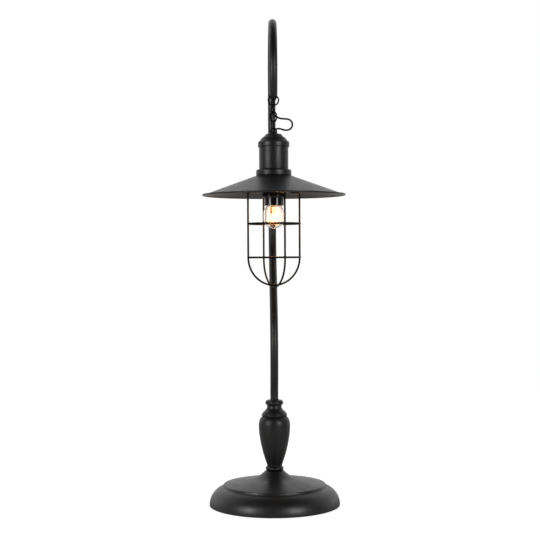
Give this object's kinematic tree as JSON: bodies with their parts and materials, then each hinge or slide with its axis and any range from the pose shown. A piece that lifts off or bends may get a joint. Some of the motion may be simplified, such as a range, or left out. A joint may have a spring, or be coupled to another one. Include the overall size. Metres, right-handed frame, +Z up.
{
  "type": "lantern table lamp",
  "caption": "Tall black table lamp with a weighted round base, turned column and swan-neck stem; a caged lantern with a conical shade hangs from the crook on a ring and chain.",
  "frame": {"origin": "centre of the felt pad's underside, on the axis of the base and column", "axes": "+Z up along the column, -Y to the front where the lantern hangs, +X to the lamp's side"},
  "size_m": [0.2224, 0.2677, 0.7756],
  "materials": {
    "black_paint": "satin",
    "black_wire": "satin",
    "socket_black": "gloss",
    "flex_black": "matte",
    "iron": "rough",
    "zinc": "satin",
    "brass": "satin",
    "porcelain": "satin",
    "felt": "matte",
    "bulb_glass": "clear",
    "stem_glass": "clear",
    "filament": "glowing"
  },
  "bodies": {
    "stand": {"base_shell": "black_paint", "base_weight": "iron", "base_felt": "felt", "base_washer": "zinc", "base_nut": "zinc", "threaded_rod": "zinc", "inlet_bushing": "flex_black", "foot_collar": "black_paint", "vase": "black_paint", "vase_cap": "black_paint", "neck_ring": "black_paint", "stem": "black_paint", "crook_tip": "black_paint", "stem_lead": "flex_black", "lamp_cord": "flex_black"},
    "ring": {"hang_ring": "black_wire"},
    "link_1": {"chain_link_1": "black_wire"},
    "link_2": {"chain_link_2": "black_wire"},
    "link_3": {"chain_link_3": "black_wire"},
    "lantern": {"cup_loop": "black_wire", "hanger_stud": "zinc", "loop_nut": "zinc", "cord_grommet": "flex_black", "cup_cap": "black_paint", "cup_body": "black_paint", "cup_flange": "black_paint", "socket_cap": "socket_black", "socket_insulator": "porcelain", "terminal_screws": "brass", "centre_contact": "brass", "screw_shell": "brass", "socket_body": "socket_black", "shade": "black_paint", "spacer_sleeve": "black_paint", "ring_nut": "socket_black", "cage_plate": "black_paint", "cage_loop_wide": "black_wire", "cage_loop_narrow": "black_wire", "cage_ring_upper": "black_wire", "cage_ring_lower": "black_wire"},
    "bulb": {"bulb_cap": "brass", "bulb_contact": "zinc", "bulb_glass": "bulb_glass", "bulb_stem": "stem_glass", "filament": "filament"}
  },
  "joints": [
    {"name": "ring_swing", "type": "hinge", "parent": "stand", "child": "ring", "pos_m": [0, -0.0519, 0.6386], "axis": [0, 1, 0], "range_deg": [-10, 10], "deforming": ["lamp_cord"]},
    {"name": "link_1_swing", "type": "hinge", "parent": "ring", "child": "link_1", "pos_m": [0, -0.0519, 0.6307], "axis": [1, 0, 0], "range_deg": [-15, 6], "deforming": ["lamp_cord"]},
    {"name": "link_2_swing", "type": "hinge", "parent": "link_1", "child": "link_2", "pos_m": [0, -0.0519, 0.6181], "axis": [0, 1, 0], "range_deg": [-10, 10], "deforming": ["lamp_cord"]},
    {"name": "link_3_swing", "type": "hinge", "parent": "link_2", "child": "link_3", "pos_m": [0, -0.0519, 0.6054], "axis": [1, 0, 0], "range_deg": [-10, 5], "deforming": ["lamp_cord"]},
    {"name": "lantern_swing", "type": "hinge", "parent": "link_3", "child": "lantern", "pos_m": [0, -0.0519, 0.5927], "axis": [0, 1, 0], "range_deg": [-10, 10], "deforming": ["lamp_cord"]},
    {"name": "bulb_screw", "type": "hinge", "parent": "lantern", "child": "bulb", "pos_m": [0, -0.0519, 0.4852], "axis": [0, 0, 1], "range_deg": [0, 1080]}
  ]
}
